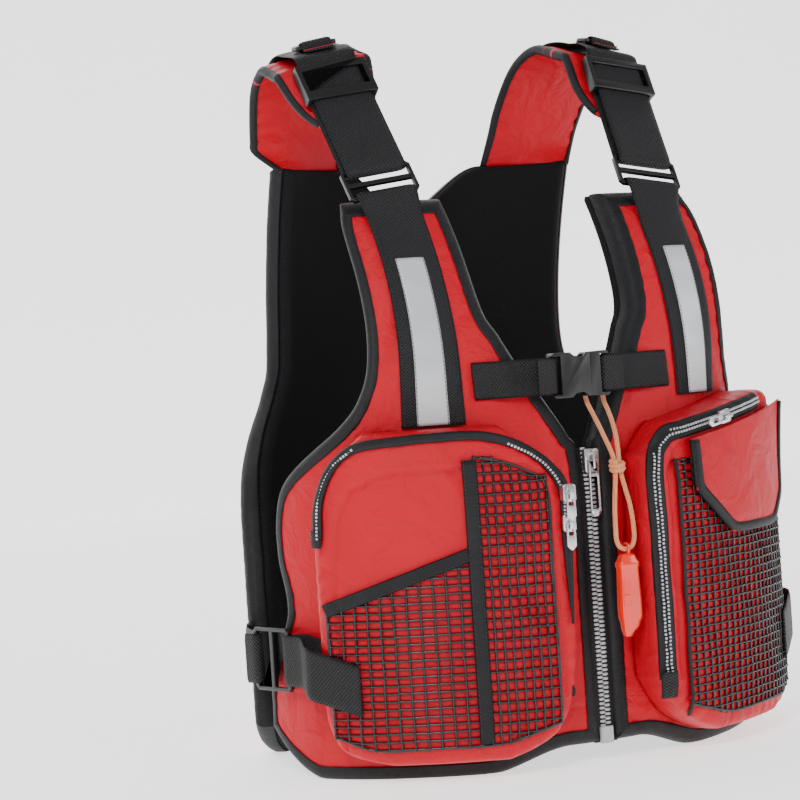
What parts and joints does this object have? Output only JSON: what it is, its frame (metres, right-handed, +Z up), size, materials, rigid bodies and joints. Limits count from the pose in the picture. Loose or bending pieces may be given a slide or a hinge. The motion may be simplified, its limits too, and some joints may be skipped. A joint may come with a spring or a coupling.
{
  "type": "life jacket",
  "caption": "Foam life jacket with a centre zip, chest buckle, padded shoulder straps, side straps, zipped and netted front pockets and a corded whistle.",
  "frame": {"origin": "under the middle of the whole vest, at the height of its hem", "axes": "+Z up the standing vest, -Y the way the wearer faces, +X the wearer's left"},
  "size_m": [0.4504, 0.3622, 0.5672],
  "materials": {
    "lining": "matt black woven nylon",
    "foam": "closed-cell foam, matt",
    "red_cloth": "smooth red nylon with a satin sheen",
    "binding": "black grosgrain tape, stitched",
    "webbing": "coarse black woven webbing",
    "reflective_tape": "satin silver reflective tape",
    "net": "thick glossy black knotted yarn",
    "zip_metal": "polished die-cast metal",
    "zip_tape": "black zip tape with silver moulded teeth",
    "black_plastic": "satin moulded acetal",
    "whistle_plastic": "glossy translucent orange",
    "cord": "light orange braided cord"
  },
  "bodies": {
    "right_half": {"front_lining_right": "lining", "front_foam_right": "foam", "front_shell_right": "red_cloth", "back_lining_right": "lining", "back_foam_right": "foam", "back_shell_right": "red_cloth", "front_binding_right": "binding", "lower_loop_right": "black_plastic", "panel_webbing_right": "webbing", "shoulder_strap_right": "webbing", "shoulder_pad_right": "red_cloth", "reflective_tape_right": "reflective_tape", "zip_tape_right": "zip_tape", "pocket_right": "red_cloth", "pocket_net_right": "net", "pocket_zip_right": "zip_tape", "side_adjuster_right": "black_plastic", "side_strap_front_right": "webbing", "side_strap_back_right": "webbing", "buckle_socket": "black_plastic", "chest_strap_right": "webbing"},
    "left_half": {"front_lining_left": "lining", "front_foam_left": "foam", "front_shell_left": "red_cloth", "back_lining_left": "lining", "back_foam_left": "foam", "back_shell_left": "red_cloth", "front_binding_left": "binding", "lower_loop_left": "black_plastic", "panel_webbing_left": "webbing", "shoulder_strap_left": "webbing", "shoulder_pad_left": "red_cloth", "reflective_tape_left": "reflective_tape", "zip_tape_left": "zip_tape", "pocket_left": "red_cloth", "pocket_zip_left": "zip_tape", "pocket_net_left": "net", "side_adjuster_left": "black_plastic", "side_strap_front_left": "webbing", "side_strap_back_left": "webbing", "buckle_plug": "black_plastic", "chest_strap_left": "webbing"},
    "zip_slider": {"zip_slider": "zip_metal"},
    "zip_pull": {"zip_pull": "zip_metal"},
    "pocket_slider_upper": {"pocket_slider_upper": "zip_metal"},
    "pocket_pull_upper": {"pocket_pull_upper": "zip_metal"},
    "pocket_slider_lower": {"pocket_slider_lower": "zip_metal"},
    "pocket_pull_lower": {"pocket_pull_lower": "zip_metal"},
    "pocket_slider_left": {"pocket_slider_left": "zip_metal"},
    "pocket_pull_left": {"pocket_pull_left": "zip_metal"},
    "pocket_flap": {"pocket_flap": "red_cloth"},
    "whistle": {"whistle": "whistle_plastic", "whistle_cord": "cord", "whistle_knot": "cord"},
    "d_ring_right": {"d_ring_right": "black_plastic"},
    "d_ring_left": {"d_ring_left": "black_plastic"},
    "shoulder_adjuster_right": {"shoulder_adjuster_right": "black_plastic"},
    "shoulder_adjuster_left": {"shoulder_adjuster_left": "black_plastic"},
    "buckle_arm_upper": {"buckle_arm_upper": "black_plastic"},
    "buckle_arm_lower": {"buckle_arm_lower": "black_plastic"}
  },
  "joints": [
    {"name": "spine_fold", "type": "hinge", "parent": "right_half", "child": "left_half", "pos_m": [0, 0.18112, 0.25], "axis": [0, 0, 1], "range_deg": [0, 60]},
    {"name": "zip_slider_slide", "type": "slide", "parent": "right_half", "child": "zip_slider", "axis": [0, 0, -1], "range_m": [0, 0.185]},
    {"name": "zip_pull_swing", "type": "hinge", "parent": "zip_slider", "child": "zip_pull", "pos_m": [0, -0.14158, 0.226], "axis": [-1, 0, 0], "range_deg": [0, 150]},
    {"name": "pocket_slider_upper_slide", "type": "slide", "parent": "right_half", "child": "pocket_slider_upper", "axis": [0, 0, -1], "range_m": [0, 0.006]},
    {"name": "pocket_pull_upper_swing", "type": "hinge", "parent": "pocket_slider_upper", "child": "pocket_pull_upper", "pos_m": [-0.04286, -0.17827, 0.206], "axis": [-0.9886, 0.1503, 0], "range_deg": [0, 150]},
    {"name": "pocket_slider_lower_slide", "type": "slide", "parent": "right_half", "child": "pocket_slider_lower", "axis": [0, 0, -1], "range_m": [0, 0.06]},
    {"name": "pocket_pull_lower_swing", "type": "hinge", "parent": "pocket_slider_lower", "child": "pocket_pull_lower", "pos_m": [-0.04222, -0.17469, 0.184], "axis": [-0.9886, 0.1503, 0], "range_deg": [0, 120]},
    {"name": "pocket_slider_left_slide", "type": "hinge", "parent": "left_half", "child": "pocket_slider_left", "pos_m": [0, 0.103, 0.2513], "axis": [-0.1467, -0.0627, 0.9872], "range_deg": [-4.5, 1]},
    {"name": "pocket_pull_left_swing", "type": "hinge", "parent": "pocket_slider_left", "child": "pocket_pull_left", "pos_m": [0.11107, -0.15838, 0.25131], "axis": [-0.1507, -0.0513, 0.9872], "range_deg": [0, 120]},
    {"name": "pocket_flap_lift", "type": "hinge", "parent": "left_half", "child": "pocket_flap", "pos_m": [0.13348, -0.14599, 0.24726], "axis": [-0.8674, -0.465, -0.1772], "range_deg": [0, 100]},
    {"name": "whistle_swing", "type": "hinge", "parent": "left_half", "child": "whistle", "pos_m": [0.0125, -0.13238, 0.268], "axis": [-1, 0, 0], "range_deg": [0, 70]},
    {"name": "d_ring_right_flip", "type": "hinge", "parent": "right_half", "child": "d_ring_right", "pos_m": [-0.13, 0.01954, 0.56028], "axis": [0.9713, -0.1416, 0.1913], "range_deg": [0, 120]},
    {"name": "shoulder_adjuster_right_slide", "type": "slide", "parent": "right_half", "child": "shoulder_adjuster_right", "axis": [0.0897, -0.5234, -0.8474], "range_m": [0, 0.05]},
    {"name": "d_ring_left_flip", "type": "hinge", "parent": "left_half", "child": "d_ring_left", "pos_m": [0.13, 0.01954, 0.56028], "axis": [0.9713, 0.1416, -0.1913], "range_deg": [0, 120]},
    {"name": "shoulder_adjuster_left_slide", "type": "slide", "parent": "left_half", "child": "shoulder_adjuster_left", "axis": [-0.0897, -0.5234, -0.8474], "range_m": [0, 0.05]},
    {"name": "buckle_arm_upper_squeeze", "type": "hinge", "parent": "left_half", "child": "buckle_arm_upper", "pos_m": [0.0065, -0.13512, 0.2994], "axis": [0, -1, 0], "range_deg": [0, 7], "stiffness_Nm_per_rad": 0.05},
    {"name": "buckle_arm_lower_squeeze", "type": "hinge", "parent": "left_half", "child": "buckle_arm_lower", "pos_m": [0.0065, -0.13512, 0.2826], "axis": [0, -1, 0], "range_deg": [-7, 0]}
  ],
  "couplings": [
    {"joint": "buckle_arm_lower_squeeze", "follows": "buckle_arm_upper_squeeze", "ratio": -1}
  ]
}
